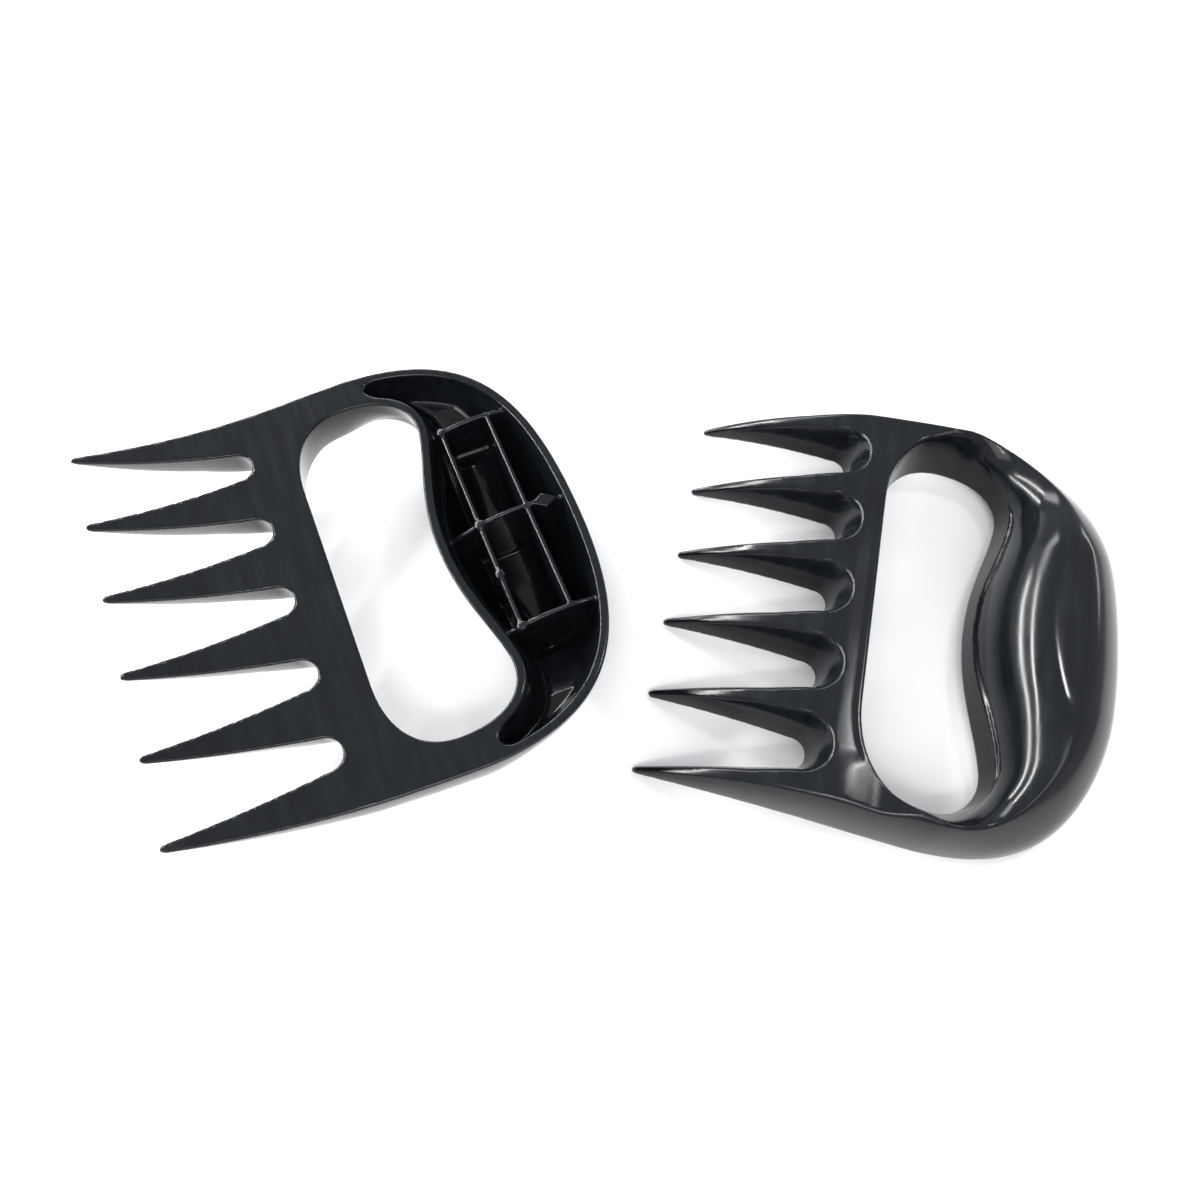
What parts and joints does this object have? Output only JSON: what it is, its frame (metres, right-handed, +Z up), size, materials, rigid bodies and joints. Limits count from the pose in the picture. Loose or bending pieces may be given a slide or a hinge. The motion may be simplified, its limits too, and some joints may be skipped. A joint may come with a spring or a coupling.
{
  "type": "hand claw pair",
  "caption": "Pair of one-piece moulded hand claws: tines in front, a finger hole and a hollow ribbed grip, for gripping, raking or shredding.",
  "frame": {"origin": "under the middle of the pair, on the surface they lie on", "axes": "+X along the longer side of the pair, from the claw lying on its back to the claw standing on its tips and heel; +Y away from the front; +Z up"},
  "size_m": [0.2442, 0.1228, 0.0334],
  "materials": {
    "claw_plastic": "glossy black moulded plastic"
  },
  "bodies": {
    "right_hand": {"right_claw": "claw_plastic"},
    "left_hand": {"left_claw": "claw_plastic"}
  },
  "joints": [
    {"name": "right_claw_lift", "type": "slide", "parent": "left_hand", "child": "right_hand", "axis": [0, 0, 1], "range_m": [0, 0.15]}
  ]
}
